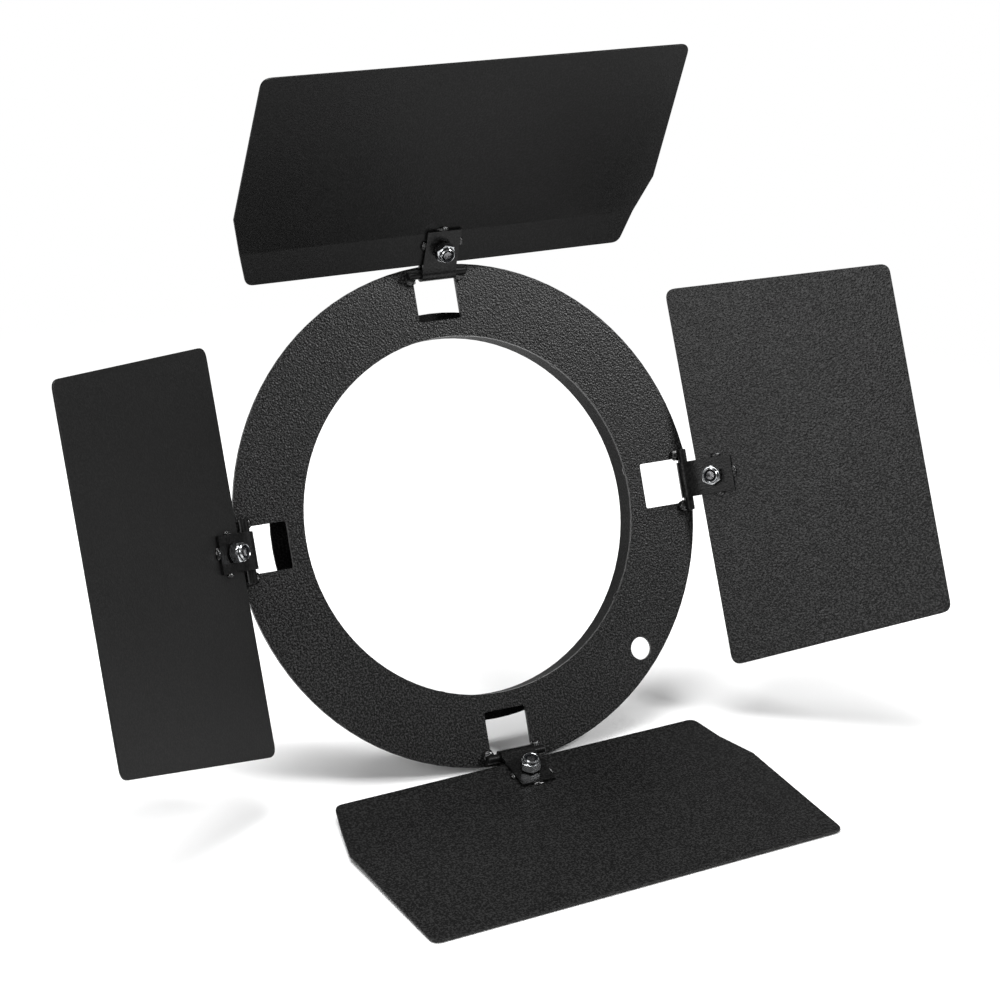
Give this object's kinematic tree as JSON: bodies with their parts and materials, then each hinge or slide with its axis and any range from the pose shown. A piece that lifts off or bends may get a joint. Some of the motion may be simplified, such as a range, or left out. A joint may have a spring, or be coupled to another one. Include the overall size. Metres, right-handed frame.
{
  "type": "barn door attachment",
  "caption": "Round mounting plate with a rear collar and hinged sheet metal doors that shape the beam of a stage light; each door tilts on a welded rod and stays put by friction.",
  "frame": {"origin": "ring centre on the optical axis, in the plane of the mounting plate's rear face", "axes": "+Y along the optical axis towards the lamp, doors on the -Y side, +Z towards the top door, +X towards the right door seen from the doors' side"},
  "size_m": [0.3359, 0.1, 0.3011],
  "materials": {
    "black_powder_coat": "fine textured satin",
    "black_steel": "black oxide",
    "zinc_plated_steel": "bright zinc",
    "nylon": "satin"
  },
  "bodies": {
    "frame": {"mounting_plate": "black_powder_coat", "collar": "black_powder_coat", "top_hinge_rod": "black_powder_coat", "right_hinge_rod": "black_powder_coat", "bottom_hinge_rod": "black_powder_coat", "left_hinge_rod": "black_powder_coat"},
    "top_leaf": {"top_strap": "black_powder_coat", "top_door": "black_powder_coat", "top_screw": "black_steel", "top_nut": "zinc_plated_steel", "top_nut_insert": "nylon"},
    "right_leaf": {"right_strap": "black_powder_coat", "right_door": "black_powder_coat", "right_screw": "black_steel", "right_nut": "zinc_plated_steel", "right_nut_insert": "nylon"},
    "bottom_leaf": {"bottom_strap": "black_powder_coat", "bottom_door": "black_powder_coat", "bottom_screw": "black_steel", "bottom_nut": "zinc_plated_steel", "bottom_nut_insert": "nylon"},
    "left_leaf": {"left_strap": "black_powder_coat", "left_door": "black_powder_coat", "left_screw": "black_steel", "left_nut": "zinc_plated_steel", "left_nut_insert": "nylon"}
  },
  "joints": [
    {"name": "top_door_hinge", "type": "hinge", "parent": "frame", "child": "top_leaf", "pos_m": [0, -0.0046, 0.09395], "axis": [-1, 0, 0], "range_deg": [-114.8, 46.2]},
    {"name": "right_door_hinge", "type": "hinge", "parent": "frame", "child": "right_leaf", "pos_m": [0.09395, -0.0046, 0], "axis": [0, 0, 1], "range_deg": [-132.4, 49.1]},
    {"name": "bottom_door_hinge", "type": "hinge", "parent": "frame", "child": "bottom_leaf", "pos_m": [0, -0.0046, -0.09395], "axis": [1, 0, 0], "range_deg": [-99.9, 61.1]},
    {"name": "left_door_hinge", "type": "hinge", "parent": "frame", "child": "left_leaf", "pos_m": [-0.09395, -0.0046, 0], "axis": [0, 0, -1], "range_deg": [-140.9, 40.6]}
  ]
}
